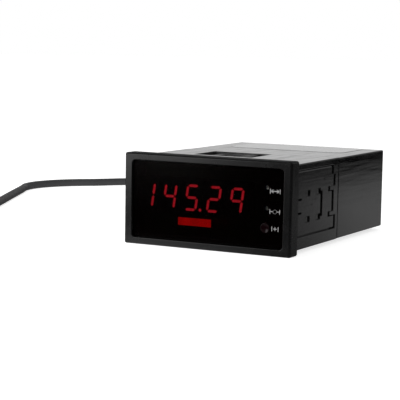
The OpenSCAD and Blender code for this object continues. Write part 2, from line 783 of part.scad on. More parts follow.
route = [
    [-gland_x, gland_end_y, gland_z], [-gland_x, gland_end_y + 5, gland_z],
    [-gland_x, gland_end_y + 10, gland_z - 0.5], [-17, 169, -2], [-22, 183, -15], [-32, 200, cord_z],
    [-50, 221, cord_z], [-80, 244, cord_z], [-115, 257, cord_z], [-150, 261, cord_z],
    [-177, 256, cord_z], [-198, 243, cord_z], [-211, 227, cord_z], [-224, 214, cord_z],
    [-232, 201, cord_z], [-236, 185, cord_z], [-234, 170, cord_z], [-228, 157, cord_z],
    [-216, 130, cord_z], [-203, 101, cord_z], [-190, 72, cord_z], [-178, 46, cord_z],
    [coil_x + coil_mid_r, coil_y + 4, coil_z0 + cord_d / 2]
];

plug_x = coil_x - coil_mid_r;
plug_ahead = 54;
plug_y = coil_y + plug_ahead;
plug_h = 14;
plug_l = 30;
plug_w = 25;
plug_neck_d = 9;
plug_neck_l = 10;
plug_z = floor_z + plug_h / 2;

tail_route = [
    [plug_x, coil_y - 4, coil_z0 + coil_h - cord_d / 2], [plug_x, coil_y + 18, coil_z0 + coil_h - cord_d / 2],
    [plug_x, coil_y + 34, plug_z + 0.6], [plug_x, plug_y - 10, plug_z], [plug_x, plug_y - 5, plug_z],
    [plug_x, plug_y, plug_z]
];

// Catmull-Rom curve through a list of points, so many steps to each span
function curve_point(p, q, r, s, t) =
    0.5 * (2 * q + (r - p) * t + (2 * p - 5 * q + 4 * r - s) * t * t + (3 * q - p - 3 * r + s) * t * t * t);
function smooth(pts, steps) = let (n = len(pts)) [
    for (i = [0:n - 2], k = [0:steps - 1])
        curve_point(pts[max(i - 1, 0)], pts[i], pts[i + 1], pts[min(i + 2, n - 1)], k / steps),
    pts[n - 1]
];
function unit(v) = v / norm(v);

// A round tube along a path, with a ring of sides square to the path at each point
module tube(path, d, sides = 8) {
    n = len(path);
    ring_points = [for (i = [0:n - 1])
        let (t = unit(path[min(i + 1, n - 1)] - path[max(i - 1, 0)]),
             u = unit(cross(t, [0, 0, 1])), v = cross(u, t))
            for (k = [0:sides - 1])
                let (a = 360 * (k + 0.5) / sides) path[i] + d / 2 * (cos(a) * u + sin(a) * v)];
    walls = [for (i = [0:n - 2], k = [0:sides - 1])
        [i * sides + k, i * sides + (k + 1) % sides, (i + 1) * sides + (k + 1) % sides, (i + 1) * sides + k]];
    polyhedron(ring_points, concat([[for (k = [sides - 1:-1:0]) k]], walls,
        [[for (k = [0:sides - 1]) (n - 1) * sides + k]]), convexity = 10);
}

module cord() color([0.28, 0.28, 0.28]) tube(smooth(route, 2), cord_d);
module cord_tail() color([0.28, 0.28, 0.28]) tube(smooth(tail_route, 2), cord_d);

module cord_coil() color([0.28, 0.28, 0.28])
    translate([coil_x, coil_y, coil_z0]) rotate_extrude()
        translate([(coil_r0 + coil_r1) / 2, coil_h / 2]) round_rect(coil_r1 - coil_r0, coil_h, 2.4);

tie_w = 4;
tie_t = 0.6;
module coil_tie() color([0.05, 0.05, 0.05])
    translate([coil_x, coil_y, coil_z0]) difference() {
        box([-tie_w / 2, -coil_r1 - fit - tie_t, -fit - tie_t], [tie_w / 2, -coil_r0 + fit + tie_t, coil_h + fit + tie_t]);
        box([-tie_w, -coil_r1 - fit, -fit], [tie_w, -coil_r0 + fit, coil_h + fit]);
    }

module plug_body() color([0.12, 0.12, 0.12]) {
    // Grip: its plan crossed with its side view
    intersection() {
        translate([plug_x, plug_y + plug_neck_l, plug_z - plug_h / 2]) linear_extrude(plug_h)
            polygon([[-6, 0], [6, 0], [plug_w / 2 - 1, 12], [plug_w / 2, 16], [plug_w / 2, plug_l],
                     [-plug_w / 2, plug_l], [-plug_w / 2, 16], [-plug_w / 2 + 1, 12]]);
        along_x(plug_x - plug_w, plug_x + plug_w) translate([plug_y + plug_neck_l, plug_z])
            polygon([[0, -5], [plug_l / 2, -plug_h / 2], [plug_l, -plug_h / 2], [plug_l, plug_h / 2],
                     [plug_l / 2, plug_h / 2], [0, 5]]);
    }
    // Ribbed neck round the lead
    for (k = [0:3])
        translate([plug_x, plug_y + k * 2.6, plug_z]) rotate([-90, 0, 0])
            cylinder(h = 1.6, d = plug_neck_d - 1.2 + 0.4 * k);
    translate([plug_x, plug_y, plug_z]) rotate([-90, 0, 0])
        cylinder(h = plug_neck_l + 0.5, d = cord_d + 1);
}

blade_gap = 12.7;
blade_w = 6.3;
blade_t = 1.5;
blade_l = 17;
module plug_blades() color([0.75, 0.72, 0.6])
    for (s = [-1, 1]) difference() {
        translate([plug_x + s * blade_gap / 2 - blade_t / 2, plug_y + plug_neck_l + plug_l, plug_z - blade_w / 2])
            cube([blade_t, blade_l, blade_w]);
        translate([plug_x, plug_y + plug_neck_l + plug_l + blade_l - 4, plug_z]) rotate([0, 90, 0])
            cylinder(h = plug_w * 2, d = 3.1, center = true);
    }

bezel();
window_lens();
legend_strip();
sleeve();
rear_cover();
rear_panel();
panel_screws();
mounting_slide_right();
mounting_slide_left();
rating_label();
led_module(1);  // led_module_1
led_module(2);  // led_module_2
led_module(3);  // led_module_3
led_module(4);  // led_module_4
led_module(5);  // led_module_5
lit_segments(1);  // lit_segments_1
lit_segments(2);  // lit_segments_2
lit_segments(3);  // lit_segments_3
lit_segments(4);  // lit_segments_4
lit_segments(5);  // lit_segments_5
dark_segments();
display_board();
board_header();
main_board();
trimmer(span_z);  // span_trimmer
adjust_screw(span_z);  // span_screw
trimmer(zero_z);  // zero_trimmer
adjust_screw(zero_z);  // zero_screw
cal_switch();
switch_plunger();
cal_button();
transformer_core();
transformer_coil();
filter_capacitor();
output_capacitor();
regulator();
fuse_clips();
fuse();
converter_chip();
driver_chip();
terminal_block();
terminal_screws();
cord_gland();
gland_nut();
cord();
cord_tail();
cord_coil();
coil_tie();
plug_body();
plug_blades();
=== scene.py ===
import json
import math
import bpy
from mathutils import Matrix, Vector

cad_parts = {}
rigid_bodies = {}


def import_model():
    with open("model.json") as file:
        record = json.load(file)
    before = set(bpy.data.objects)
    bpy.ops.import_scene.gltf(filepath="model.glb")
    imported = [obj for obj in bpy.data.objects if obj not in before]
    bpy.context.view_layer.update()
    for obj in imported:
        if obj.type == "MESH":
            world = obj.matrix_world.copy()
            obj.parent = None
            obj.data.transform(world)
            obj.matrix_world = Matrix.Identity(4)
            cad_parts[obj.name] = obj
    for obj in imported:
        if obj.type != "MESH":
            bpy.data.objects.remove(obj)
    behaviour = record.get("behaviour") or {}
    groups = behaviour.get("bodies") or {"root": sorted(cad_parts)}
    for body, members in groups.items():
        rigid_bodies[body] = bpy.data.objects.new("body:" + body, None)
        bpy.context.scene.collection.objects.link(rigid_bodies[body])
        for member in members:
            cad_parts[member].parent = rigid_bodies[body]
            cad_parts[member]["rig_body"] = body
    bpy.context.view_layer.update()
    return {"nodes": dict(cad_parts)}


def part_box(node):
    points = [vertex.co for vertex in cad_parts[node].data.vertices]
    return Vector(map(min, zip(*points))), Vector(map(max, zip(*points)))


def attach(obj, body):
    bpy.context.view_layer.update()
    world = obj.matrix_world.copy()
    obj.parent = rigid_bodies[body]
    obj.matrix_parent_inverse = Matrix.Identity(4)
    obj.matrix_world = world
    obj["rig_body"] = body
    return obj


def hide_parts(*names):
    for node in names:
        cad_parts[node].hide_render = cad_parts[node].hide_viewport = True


bl_info = {
    "name": "Digital panel meter",
    "version": (1, 0, 0),
    "blender": (4, 5, 0),
    "location": "View3D > Sidebar > Panel meter",
    "description": "Dresses the panel meter, its case, window, controls, rear terminals "
                   "and supply lead",
    "category": "Object",
}

import bmesh
import bpy
from bpy.props import FloatProperty, FloatVectorProperty, IntProperty, PointerProperty
from mathutils import Matrix, Vector

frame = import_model()
MM = 0.001
FLOOR_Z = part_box("bezel")[0].z
TERMINAL_PITCH = 5.08 * MM


# ---- Settings -------------------------------------------------------------------------------

class MeterSizes(bpy.types.PropertyGroup):
    edge_round: FloatProperty(
        name="Edge radius", description="Radius of the moulded edges",
        default=0.25 * MM, min=0.05 * MM, max=0.6 * MM, subtype="DISTANCE", unit="LENGTH")
    cord_diameter: FloatProperty(
        name="Lead diameter", description="Outer diameter of the lead",
        default=5.2 * MM, min=3 * MM, max=8 * MM, subtype="DISTANCE", unit="LENGTH")
    turn_points: IntProperty(
        name="Points per turn", description="Points of the lead in each turn of its coil",
        default=18, min=12, max=36)
    mark_width: FloatProperty(
        name="Mark width", description="Width of the printed signs beside the controls",
        default=5.4 * MM, min=3 * MM, max=6 * MM, subtype="DISTANCE", unit="LENGTH")
    mark_line: FloatProperty(
        name="Mark line", description="Line width of the printed signs",
        default=0.26 * MM, min=0.15 * MM, max=0.5 * MM, subtype="DISTANCE", unit="LENGTH")
    relief_rings: IntProperty(
        name="Relief rings", description="Rings along the lead's strain relief",
        default=7, min=3, max=10)
    grip_ridges: IntProperty(
        name="Grip ridges", description="Ridges on each face of the plug", default=7, min=3, max=9)


class MeterColours(bpy.types.PropertyGroup):
    bezel: FloatVectorProperty(
        name="Bezel", description="Plastic of the front frame", subtype="COLOR",
        default=(0.0045, 0.0045, 0.0047), size=3, min=0, max=1)
    case: FloatVectorProperty(
        name="Case", description="Plastic of the sleeve and the rear cover", subtype="COLOR",
        default=(0.0055, 0.0055, 0.0057), size=3, min=0, max=1)
    window: FloatVectorProperty(
        name="Window", description="Filter sheet over the display", subtype="COLOR",
        default=(0.0008, 0.0003, 0.0003), size=3, min=0, max=1)
    figures: FloatVectorProperty(
        name="Figures", description="Light of the lit segments", subtype="COLOR",
        default=(1.0, 0.02, 0.04), size=3, min=0, max=1)
    # The red strip's light is painted glow: the strip is a dull red film with no lamp behind it.
    strip: FloatVectorProperty(
        name="Strip", description="Light of the red strip", subtype="COLOR",
        default=(1.0, 0.002, 0.001), size=3, min=0, max=1)
    lead: FloatVectorProperty(
        name="Lead", description="Jacket of the lead", subtype="COLOR",
        default=(0.05, 0.05, 0.052), size=3, min=0, max=1)


class StudioSettings(bpy.types.PropertyGroup):
    azimuth: FloatProperty(
        name="Azimuth", description="Angle of the camera round the meter, from its front",
        default=math.radians(27.808), subtype="ANGLE")
    elevation: FloatProperty(
        name="Elevation", description="Angle of the camera above the ground",
        default=math.radians(6.481), subtype="ANGLE")
    roll: FloatProperty(
        name="Roll", description="Tilt of the camera about its own axis",
        default=math.radians(1.044), subtype="ANGLE")
    distance: FloatProperty(
        name="Distance", description="Distance of the camera from its aim",
        default=0.79, min=0.2, subtype="DISTANCE", unit="LENGTH")
    aim: FloatVectorProperty(
        name="Aim", description="Point that the camera looks at",
        default=(-23.44 * MM, 29.95 * MM, -3.17 * MM), size=3, subtype="TRANSLATION", unit="LENGTH")
    lens: FloatProperty(
        name="Focal length", description="Focal length of the camera",
        default=131.46, unit="CAMERA")


def sizes():
    return bpy.context.scene.meter_sizes


def colours():
    return bpy.context.scene.meter_colours


# ---- Meshes ---------------------------------------------------------------------------------

def smoothed(shape, angle=math.radians(32)):
    """Smooth faces, with the edges sharper than angle kept sharp."""
    for face in shape.faces:
        face.smooth = True
    for edge in shape.edges:
        edge.smooth = edge.calc_face_angle(0.0) < angle


def merged_copy(node):
    """The mesh of a CAD node with its doubles merged and its flat faces joined."""
    shape = bmesh.new()
    shape.from_mesh(frame["nodes"][node].data)
    bmesh.ops.remove_doubles(shape, verts=shape.verts, dist=0.002 * MM)
    bmesh.ops.dissolve_limit(
        shape, angle_limit=math.radians(0.4), verts=shape.verts, edges=shape.edges)
    smoothed(shape)
    return plain_mesh(shape, node + "_soft")


def plain_mesh(shape, name):
    mesh = bpy.data.meshes.new(name)
    shape.to_mesh(mesh)
    shape.free()
    return mesh


def link(obj):
    bpy.context.scene.collection.objects.link(obj)
    return obj


def evaluated(obj, name):
    """A plain mesh of an object with all its modifiers applied; the object goes."""
    bpy.context.view_layer.update()
    view = bpy.context.evaluated_depsgraph_get()
    mesh = bpy.data.meshes.new_from_object(obj.evaluated_get(view))
    mesh.name = name
    bpy.data.objects.remove(obj)
    return mesh


def round_edges(obj, radius, segments=2, angle=35):
    """Rounds an object's sharp edges and keeps its flat faces flat under the light."""
    bevel = obj.modifiers.new("Rounded edges", "BEVEL")
    bevel.width = radius
    bevel.segments = segments
    bevel.limit_method = "ANGLE"
    bevel.angle_limit = math.radians(angle)
    bevel.use_clamp_overlap = False
    obj.modifiers.new("Flat faces", "WEIGHTED_NORMAL").keep_sharp = True


def piece(name, mesh, body, material=None, replaces=()):
    """Links a finished mesh as a piece that rides on a body."""
    obj = link(bpy.data.objects.new(name, mesh))
    if material:
        mesh.materials.clear()
        mesh.materials.append(material)
    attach(obj, body)
    if replaces:
        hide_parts(*replaces)
    return obj


def body_of_node(node):
    return frame["nodes"][node]["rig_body"]


def softened(node, name, material, radius=None, segments=2, angle=35):
    """Replaces a CAD node by the same form with its edges rounded."""
    obj = link(bpy.data.objects.new(name + "_draft", merged_copy(node)))
    round_edges(obj, sizes().edge_round if radius is None else radius, segments, angle)
    return piece(
        name, evaluated(obj, name), body_of_node(node), material, [node])


def dress(node, material):
    """Gives a CAD node that stays its material."""
    mesh = frame["nodes"][node].data
    mesh.materials.clear()
    mesh.materials.append(material)


# ---- Repeated pieces ------------------------------------------------------------------------

class Tree:
    """A Geometry Nodes tree with named inputs, and short ways to add and join its nodes."""

    def __init__(self, name, inputs):
        self.group = bpy.data.node_groups.new(name, "GeometryNodeTree")
        self.ids = {}
        for label, kind in inputs.items():
            socket = self.group.interface.new_socket(
                label, in_out="INPUT", socket_type="NodeSocket" + kind)
            self.ids[label] = socket.identifier
        self.group.interface.new_socket(
            "Geometry", in_out="OUTPUT", socket_type="NodeSocketGeometry")
        self.given = self.add("NodeGroupInput")

    def add(self, kind, links=(), **values):
        node = self.group.nodes.new(kind)
        for key, value in values.items():
            setattr(node, key, value)
        for socket, source in dict(links).items():
            if isinstance(source, bpy.types.NodeSocket):
                self.group.links.new(source, node.inputs[socket])
            else:
                node.inputs[socket].default_value = source
        return node

    def size(self, label):
        return self.given.outputs[label]

    def math(self, operation, first, second):
        return self.add("ShaderNodeMath", {0: first, 1: second}, operation=operation).outputs[0]

    def vector(self, x, y, z):
        return self.add("ShaderNodeCombineXYZ", {0: x, 1: y, 2: z}).outputs[0]

    def rod(self, diameter, length, sides, y):
        """A cylinder along Y whose near end is at y."""
        cylinder = self.add("GeometryNodeMeshCylinder", {
            "Vertices": sides, "Radius": self.math("MULTIPLY", diameter, 0.5), "Depth": length})
        middle = self.math("ADD", y, self.math("MULTIPLY", length, 0.5))
        return self.add("GeometryNodeTransform", {
            "Geometry": cylinder.outputs["Mesh"], "Translation": self.vector(0.0, middle, 0.0),
            "Rotation": (math.pi / 2, 0, 0)}).outputs[0]

    def block(self, size, y):
        """A box of a size, centred on the axis at y."""
        cube = self.add("GeometryNodeMeshCube", {"Size": size})
        return self.add("GeometryNodeTransform", {
            "Geometry": cube.outputs["Mesh"], "Translation": self.vector(0.0, y, 0.0)}).outputs[0]

    def cut(self, solid, *tools):
        node = self.add("GeometryNodeMeshBoolean", operation="DIFFERENCE", solver="EXACT")
        self.group.links.new(solid, node.inputs["Mesh 1"])
        for tool in tools:
            self.group.links.new(tool, node.inputs["Mesh 2"])
        return node.outputs["Mesh"]

    def finish(self, points, shape, scale=None):
        """Sets the shape on the points, and ends the tree in one real mesh with its material."""
        links = {"Points": points, "Instance": shape}
        if scale is not None:
            links["Scale"] = scale
        instances = self.add("GeometryNodeInstanceOnPoints", links)
        real = self.add("GeometryNodeRealizeInstances", {"Geometry": instances.outputs[0]})
        dyed = self.add("GeometryNodeSetMaterial", {
            "Geometry": real.outputs[0], "Material": self.size("Material")})
        end = self.add("NodeGroupOutput")
        self.group.links.new(dyed.outputs[0], end.inputs[0])


def grown(name, tree, values, radius, segments=2):
    """The plain mesh that a tree grows from its values, with its edges rounded."""
    obj = link(bpy.data.objects.new(name + "_draft", bpy.data.meshes.new(name + "_draft")))
    modifier = obj.modifiers.new("Repeated shapes", "NODES")
    modifier.node_group = tree.group
    for label, value in values.items():
        modifier[tree.ids[label]] = value
    shape = bmesh.new()
    shape.from_mesh(evaluated(obj, name + "_raw"))
    bmesh.ops.remove_doubles(shape, verts=shape.verts, dist=0.001 * MM)
    smoothed(shape)
    for face in shape.faces:
        face.material_index = 0
    mesh = plain_mesh(shape, name)
    mesh.materials.append(values["Material"])
    obj = link(bpy.data.objects.new(name + "_sharp", mesh))
    round_edges(obj, radius, segments)
    return evaluated(obj, name)


def row_points(tree):
    return tree.add("GeometryNodeMeshLine", {
        "Count": tree.size("Count"), "Start Location": tree.size("Start"),
        "Offset": tree.size("Step")}, mode="OFFSET").outputs[0]


def slotted_screws():
    """A row of screws with a straight slot, their heads towards +Y."""
    t = Tree("Slotted screws", {
        "Count": "Int", "Start": "Vector", "Step": "Vector", "Diameter": "Float",
        "Length": "Float", "Slot": "Float", "Material": "Material"})
    rod = t.rod(t.size("Diameter"), t.size("Length"), 28, 0.0)
    long = t.math("MULTIPLY", t.size("Diameter"), 2.0)
    deep = t.math("MULTIPLY", t.size("Slot"), 2.4)
    slot = t.block(t.vector(long, deep, t.size("Slot")), t.size("Length"))
    t.finish(row_points(t), t.cut(rod, slot))
    return t


def corner_screws():
    """Four cross-head screws at the corners of an upright rectangle, their heads towards +Y."""
    t = Tree("Corner screws", {
        "Width": "Float", "Height": "Float", "Plane": "Float", "Head diameter": "Float",
        "Head height": "Float", "Shank diameter": "Float", "Shank length": "Float",
        "Cross": "Float", "Material": "Material"})
    grid = t.add("GeometryNodeMeshGrid", {
        "Size X": t.size("Width"), "Size Y": t.size("Height"),
        "Vertices X": 2, "Vertices Y": 2}).outputs[0]
    corners = t.add("GeometryNodeTransform", {
        "Geometry": grid, "Rotation": (math.pi / 2, 0, 0),
        "Translation": t.vector(0.0, t.size("Plane"), 0.0)}).outputs[0]
    head = t.rod(t.size("Head diameter"), t.size("Head height"), 32, 0.0)
    arm = t.math("MULTIPLY", t.size("Cross"), 0.25)
    deep = t.math("MULTIPLY", t.size("Head height"), 1.2)
    cross = [t.block(t.vector(t.size("Cross"), deep, arm), t.size("Head height")),
             t.block(t.vector(arm, deep, t.size("Cross")), t.size("Head height"))]
    shank = t.rod(t.size("Shank diameter"), t.size("Shank length"), 20,
                  t.math("MULTIPLY", t.size("Shank length"), -1.0))
    whole = t.add("GeometryNodeJoinGeometry")
    for part in (t.cut(head, *cross), shank):
        t.group.links.new(part, whole.inputs[0])
    t.finish(corners, whole.outputs[0])
    return t


def tapering_rings():
    """A row of rings along Y whose diameter runs from a first to a last value."""
    t = Tree("Tapering rings", {
        "Count": "Int", "Start": "Vector", "Step": "Vector", "First diameter": "Float",
        "Last diameter": "Float", "Ring width": "Float", "Material": "Material"})
    last = t.math("SUBTRACT", t.size("Count"), 1.0)
    share = t.math("DIVIDE", t.add("GeometryNodeInputIndex").outputs[0], last)
    ratio = t.math("DIVIDE", t.size("Last diameter"), t.size("First diameter"))
    scale = t.math("ADD", 1.0, t.math("MULTIPLY", share, t.math("SUBTRACT", ratio, 1.0)))
    ring = t.rod(t.size("First diameter"), t.size("Ring width"), 36, 0.0)
    t.finish(row_points(t), ring, t.vector(scale, 1.0, scale))
    return t


def ridge_row():
    """A row of bars."""
    t = Tree("Ridge row", {
        "Count": "Int", "Start": "Vector", "Step": "Vector", "Bar": "Vector",
        "Material": "Material"})
    t.finish(row_points(t), t.block(t.size("Bar"), 0.0))
    return t


# ---- Materials ------------------------------------------------------------------------------

class Shader:
    """A material with one Principled shader, and short ways to add and join nodes."""

    def __init__(self, name):
        self.material = bpy.data.materials.new(name)
        self.material.use_nodes = True
        self.tree = self.material.node_tree
        self.tree.nodes.clear()
        self.surface = self.add("ShaderNodeBsdfPrincipled")
        self.output = self.add("ShaderNodeOutputMaterial")
        self.join(self.surface.outputs[0], self.output.inputs[0])

    def add(self, kind, **values):
        node = self.tree.nodes.new(kind)
        for key, value in values.items():
            setattr(node, key, value)
        return node

    def join(self, source, target):
        self.tree.links.new(source, target)

    def set(self, **values):
        for key, value in values.items():
            self.surface.inputs[key.replace("_", " ")].default_value = value

    def place(self, scale=(1, 1, 1), shift=(0, 0, 0)):
        """Object coordinates in millimetres, times scale and moved by shift."""
        source = self.add("ShaderNodeTexCoord").outputs["Object"]
        mapping = self.add("ShaderNodeMapping")
        mapping.inputs["Scale"].default_value = [s / MM for s in scale]
        mapping.inputs["Location"].default_value = shift
        self.join(source, mapping.inputs["Vector"])
        return mapping.outputs["Vector"]

    def patches(self, size, detail, roughness=0.5, shift=(0, 0, 0)):
        """Noise in patches of about size mm: one number, or one each along X, Y and Z."""
        lengths = size if isinstance(size, tuple) else (size, size, size)
        node = self.add("ShaderNodeTexNoise")
        node.inputs["Scale"].default_value = 1.0
        node.inputs["Detail"].default_value = detail
        node.inputs["Roughness"].default_value = roughness
        self.join(self.place([1 / length for length in lengths], shift), node.inputs["Vector"])
        return node.outputs["Fac"]

    def remap(self, value, low, high, to_low, to_high):
        node = self.add("ShaderNodeMapRange")
        ends = {"From Min": low, "From Max": high, "To Min": to_low, "To Max": to_high}
        for key, number in ends.items():
            node.inputs[key].default_value = number
        self.join(value, node.inputs["Value"])
        return node.outputs["Result"]

    def eased(self, value, low, high):
        """From 0 at low to 1 at high, with soft ends."""
        node = self.add("ShaderNodeMapRange", interpolation_type="SMOOTHSTEP")
        node.inputs["From Min"].default_value = low
        node.inputs["From Max"].default_value = high
        self.join(value, node.inputs["Value"])
        return node.outputs["Result"]

    def blend(self, factor, first, second):
        """A colour between two, by factor."""
        node = self.add("ShaderNodeMix", data_type="RGBA")
        node.inputs["A"].default_value = (*first, 1)
        node.inputs["B"].default_value = (*second, 1)
        self.join(factor, node.inputs["Factor"])
        return node.outputs["Result"]

    def inside(self, centre, half):
        """1 in a box about centre, 0 outside it."""
        parts = self.add("ShaderNodeSeparateXYZ")
        self.join(self.place(shift=[-c for c in centre]), parts.inputs[0])
        x, y, z = (self.math("LESS_THAN", self.math("ABSOLUTE", out, 0), h)
                   for out, h in zip(parts.outputs, half))
        return self.math("MULTIPLY", self.math("MULTIPLY", x, y), z)

    def math(self, operation, first, second):
        node = self.add("ShaderNodeMath", operation=operation)
        for socket, value in zip(node.inputs, (first, second)):
            if isinstance(value, (int, float)):
                socket.default_value = value
            else:
                self.join(value, socket)
        return node.outputs[0]

    def bump(self, height, distance, below=None):
        node = self.add("ShaderNodeBump")
        node.inputs["Strength"].default_value = 1.0
        node.inputs["Distance"].default_value = distance
        self.join(height, node.inputs["Height"])
        if below is not None:
            self.join(below, node.inputs["Normal"])
        return node.outputs["Normal"]


def shades(colour, spread):
    """A darker and a lighter shade of a colour."""
    return [c * (1 - spread) for c in colour], [min(1, c * (1 + spread)) for c in colour]


def moulded_plastic(name, colour, roughness, specular, grain, grain_height, streaks=0.0, dull=None):
    """Injection-moulded plastic: fine spark texture, uneven gloss and, along Y, faint flow streaks.

    grain and grain_height are in mm. dull is a box in mm, its centre and half its size, where
    the mould was left rough.
    """
    s = Shader(name)
    s.set(Specular_IOR_Level=specular)
    dark, light = shades(colour, 0.25)
    s.join(s.blend(s.patches(22, 3.0), dark, light), s.surface.inputs["Base Color"])
    uneven = s.patches((7, 16, 7), 4.0, shift=(3, 1, 7))
    rough = s.remap(uneven, 0.3, 0.7, roughness - 0.04, roughness + 0.04)
    if streaks:
        flow = s.patches((5, 70, 1.7), 3.0, 0.65, shift=(5, 2, 1))
        rough = s.math("ADD", rough, s.remap(flow, 0.3, 0.7, -streaks, streaks))
    if dull:
        rough = s.math("ADD", rough, s.math("MULTIPLY", s.inside(*dull), DULL_ROUGHNESS))
    s.join(rough, s.surface.inputs["Roughness"])
    normal = s.bump(s.patches(grain, 2.0), grain_height * MM)
    if streaks:
        wave = s.patches((9, 45, 3.2), 2.0, shift=(1, 4, 2))
        normal = s.bump(wave, streaks * MM, normal)
    s.join(normal, s.surface.inputs["Normal"])
    return s.material


def filter_window(name, colour):
    """Dark filter sheet, nearly black and matt, that lets out a share of the display's light."""
    s = Shader(name)
    s.set(Base_Color=(*colour, 1), Specular_IOR_Level=0.02, Alpha=0.8)
    dust = s.patches(9, 5.0, 0.7)
    s.join(s.remap(dust, 0.35, 0.75, 0.12, 0.2), s.surface.inputs["Roughness"])
    s.join(s.bump(s.patches(30, 1.0), 0.05 * MM), s.surface.inputs["Normal"])
    return s.material


def lit_resin(name, colour, strength, cloud_size):
    """Diffusing resin over light chips, bright and a little uneven along the segment; for the red
    strip, a dull film given painted glow.
    """
    s = Shader(name)
    s.set(Base_Color=(*[0.3 * c for c in colour], 1), Roughness=0.45, Emission_Color=(*colour, 1))
    low, high = 0.82 * strength, 1.18 * strength
    s.join(s.remap(s.patches(cloud_size, 1.0), 0.25, 0.75, low, high),
           s.surface.inputs["Emission Strength"])
    return s.material


def matt_film(name, colour, roughness, specular):
    """Thin printed or dyed film."""
    s = Shader(name)
    s.set(Specular_IOR_Level=specular)
    dark, light = shades(colour, 0.08)
    s.join(s.blend(s.patches(4, 4.0), dark, light), s.surface.inputs["Base Color"])
    s.join(s.remap(s.patches(2, 2.0), 0.3, 0.7, roughness - 0.05, roughness + 0.05),
           s.surface.inputs["Roughness"])
    s.join(s.bump(s.patches(0.25, 2.0), 0.003 * MM), s.surface.inputs["Normal"])
    return s.material


def worn_metal(name, colour, roughness, line_spacing):
    """Turned or stamped metal with fine drawing lines and a slightly dulled face."""
    s = Shader(name)
    s.set(Metallic=1.0)
    dark, light = shades(colour, 0.18)
    s.join(s.blend(s.patches(1.5, 4.0), dark, light), s.surface.inputs["Base Color"])
    lines = s.patches((line_spacing, 5, line_spacing), 2.0)
    s.join(s.remap(lines, 0.3, 0.7, roughness - 0.1, roughness + 0.12),
           s.surface.inputs["Roughness"])
    s.join(s.bump(lines, 0.004 * MM), s.surface.inputs["Normal"])
    return s.material


def circuit_laminate(name, mask, copper):
    """Green solder mask with the low relief of the tracks under it and the glass cloth's weave."""
    s = Shader(name)
    cells = s.add("ShaderNodeTexBrick")
    s.join(s.place((1 / 6, 1 / 6, 1 / 6)), cells.inputs["Vector"])
    cells.inputs["Scale"].default_value = 1.0
    cells.inputs["Mortar Size"].default_value = 0.06
    cells.inputs["Color1"].default_value = (*mask, 1)
    cells.inputs["Color2"].default_value = (*[0.8 * c for c in mask], 1)
    cells.inputs["Mortar"].default_value = (*copper, 1)
    s.join(cells.outputs["Color"], s.surface.inputs["Base Color"])
    s.join(s.remap(s.patches(0.5, 1.0), 0.3, 0.7, 0.3, 0.45), s.surface.inputs["Roughness"])
    s.join(s.bump(cells.outputs["Fac"], 0.03 * MM), s.surface.inputs["Normal"])
    return s.material


def cable_jacket(name, colour, roughness=0.5):
    """Soft PVC jacket with small scuffs and dull patches."""
    s = Shader(name)
    s.set(Specular_IOR_Level=0.1)
    dark, light = shades(colour, 0.16)
    s.join(s.blend(s.patches(14, 4.0), dark, light), s.surface.inputs["Base Color"])
    s.join(s.remap(s.patches(3, 4.0), 0.3, 0.7, roughness - 0.07, roughness + 0.1),
           s.surface.inputs["Roughness"])
    s.join(s.bump(s.patches(1 / 3, 3.0), 0.01 * MM), s.surface.inputs["Normal"])
    return s.material


def clear_glass(name):
    s = Shader(name)
    s.set(Base_Color=(0.9, 0.94, 0.94, 1), Roughness=0.03, Alpha=0.35, Specular_IOR_Level=0.5)
    s.join(s.bump(s.patches(3, 1.0), 0.02 * MM), s.surface.inputs["Normal"])
    return s.material


# Where a mould was left rough: a box's centre and half its size in mm, and the added roughness
BEZEL_TOP_FACE = ((0, -4, 24), (60, 4.4, 0.4))
TOP_POCKET = ((-7.8, 37.2, 22), (17.2, 12.9, 2.6))
DULL_ROUGHNESS = 0.45

PLASTICS = {  # colour, roughness, specular level, size and height of the grain in mm
    "module_resin": ((0.012, 0.012, 0.012), 0.6, 0.3, 0.2, 0.006),
    "black_resin": ((0.014, 0.014, 0.015), 0.5, 0.4, 0.15, 0.008),
    "white_resin": ((0.62, 0.61, 0.57), 0.4, 0.5, 0.3, 0.003),
    # The button's dark red tint is painted glow of the display's light from inside it; its plastic
    # is near black.
    "button_plastic": ((0.004, 0.001, 0.0015), 0.1, 0.14, 0.4, 0.0),
    "trimmer_blue": ((0.0015, 0.003, 0.008), 0.5, 0.1, 0.3, 0.003),
    "capacitor_sleeve": ((0.02, 0.03, 0.12), 0.3, 0.5, 0.6, 0.002),
    "terminal_green": ((0.015, 0.2, 0.07), 0.4, 0.5, 0.3, 0.003),
    "gland_nylon": ((0.01, 0.01, 0.01), 0.45, 0.4, 0.25, 0.005),
    "tie_nylon": ((0.01, 0.01, 0.01), 0.4, 0.4, 0.25, 0.003),
    "plug_rubber": ((0.016, 0.016, 0.016), 0.5, 0.4, 0.25, 0.006),
}
METALS = {  # colour, roughness, spacing of the drawing lines in mm
    "brass": ((0.72, 0.5, 0.2), 0.28, 0.12),
    "dull_brass": ((0.5, 0.49, 0.46), 0.3, 0.12),
    "black_steel": ((0.05, 0.05, 0.052), 0.4, 0.12),
    "tinned_metal": ((0.62, 0.62, 0.6), 0.28, 0.12),
    "core_steel": ((0.16, 0.16, 0.17), 0.5, 0.35),
}
FILMS = {  # colour, roughness, specular level
    "white_print": ((0.42, 0.42, 0.42), 0.5, 0.5),
    "label_film": ((0.5, 0.5, 0.5), 0.2, 1.0),
    "unlit_segment": ((0.01, 0.005, 0.005), 0.6, 0.2),
    "coil_tape": ((0.55, 0.38, 0.08), 0.35, 0.5),
}
